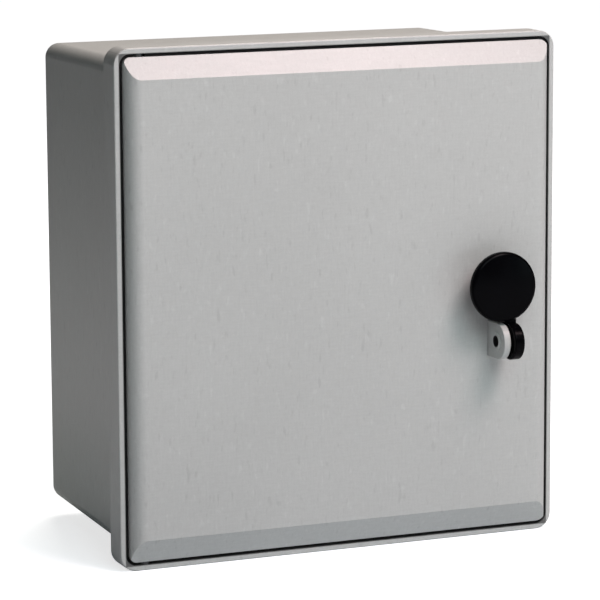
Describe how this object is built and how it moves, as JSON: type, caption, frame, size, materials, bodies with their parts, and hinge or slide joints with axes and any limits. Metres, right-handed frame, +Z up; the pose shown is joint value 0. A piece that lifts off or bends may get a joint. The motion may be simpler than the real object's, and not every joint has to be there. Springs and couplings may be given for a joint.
{
  "type": "electric meter box",
  "caption": "Wall-mounted moulded meter enclosure with a side-hinged bevelled door, a quarter-turn knob lock and a padlock lug, for an electricity meter.",
  "frame": {"origin": "centre of the flat back face that stands against the wall", "axes": "+X to the right as seen from the front, +Y into the wall, +Z up; the door faces -Y and its hinge is on the left"},
  "size_m": [0.356, 0.249, 0.39],
  "materials": {
    "grey_moulding": "fine moulded glass-fibre polyester, satin",
    "black_knob": "glossy moulded plastic",
    "black_plastic": "moulded plastic",
    "seal_rubber": "soft moulded rubber",
    "grommet_rubber": "smooth rubber",
    "pin_steel": "turned stainless steel",
    "zinc_steel": "bright zinc plate",
    "board_laminate": "phenolic laminate board",
    "insert_brass": "turned brass",
    "stop_plastic": "moulded plastic",
    "nylon": "moulded nylon"
  },
  "bodies": {
    "enclosure": {"body_shell": "grey_moulding", "meter_board": "board_laminate", "board_inserts": "insert_brass", "board_washers": "zinc_steel", "board_screws": "zinc_steel", "din_rail": "zinc_steel", "rail_screws": "zinc_steel", "rail_nuts": "zinc_steel", "rail_end_stops": "stop_plastic", "cable_grommets": "grommet_rubber"},
    "door": {"door_shell": "grey_moulding", "door_gasket": "seal_rubber", "door_edge_seal": "seal_rubber", "hinge_pin_upper": "pin_steel", "hinge_pin_lower": "pin_steel", "hinge_washers": "nylon", "lock_bushing": "black_plastic", "lock_seal": "seal_rubber", "lock_nut": "zinc_steel", "padlock_lug": "grey_moulding"},
    "knob": {"lock_knob": "black_knob", "lock_spindle": "pin_steel", "latch_cam": "zinc_steel", "cam_washer": "zinc_steel", "cam_screw": "zinc_steel"}
  },
  "joints": [
    {"name": "door_hinge", "type": "hinge", "parent": "enclosure", "child": "door", "pos_m": [-0.1583, -0.1995, 0], "axis": [0, 0, -1], "range_deg": [0, 95]},
    {"name": "knob_turn", "type": "hinge", "parent": "door", "child": "knob", "pos_m": [0.121, -0.214, 0.0045], "axis": [0, -1, 0], "range_deg": [0, 90]}
  ]
}
